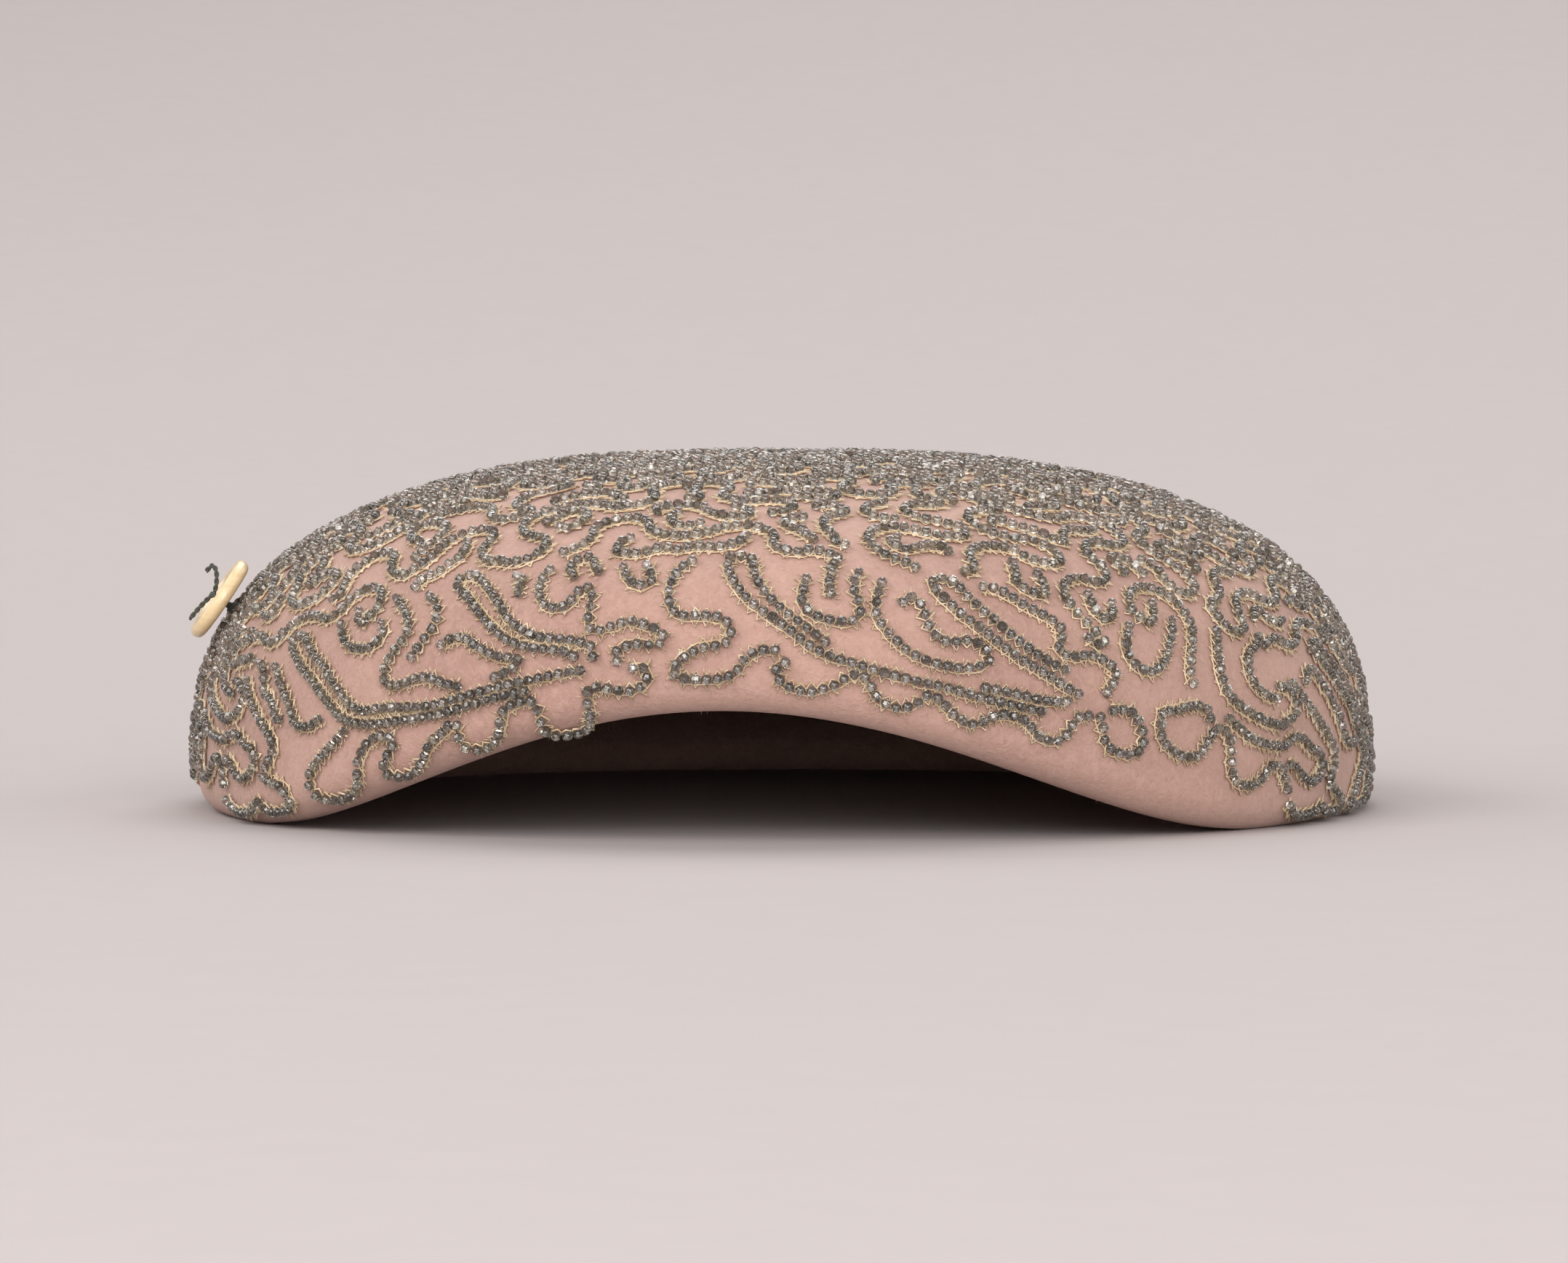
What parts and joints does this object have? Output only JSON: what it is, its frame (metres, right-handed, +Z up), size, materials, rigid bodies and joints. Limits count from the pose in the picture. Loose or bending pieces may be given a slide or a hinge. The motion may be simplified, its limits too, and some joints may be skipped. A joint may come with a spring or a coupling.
{
  "type": "cocktail hat",
  "caption": "Small domed felt cocktail hat: rim turned under and arched up in front, felt head band with a ribbon hung inside, scrolls of glass beads outside, a sewn button on one side.",
  "frame": {"origin": "on the surface the hat rests on, under the middle of its outline", "axes": "+Z up through the crown, -Y towards the arched front edge, +X towards the wearer's left"},
  "size_m": [0.26, 0.28, 0.0775],
  "materials": {
    "wool_felt": "soft matt nap, pale mauve pink",
    "grosgrain": "ribbed, slight lustre, tan",
    "ivory_button": "polished cream",
    "dark_thread": "waxed cotton thread, grey green",
    "smoke_glass": "smoky grey cut glass beads, lined",
    "gold_thread": "chain-stitched pale gold thread with a metallic lustre"
  },
  "bodies": {
    "root": {"felt_shell": "wool_felt", "head_band": "wool_felt", "sweat_ribbon": "grosgrain", "button": "ivory_button", "button_thread": "dark_thread"}
  },
  "joints": []
}
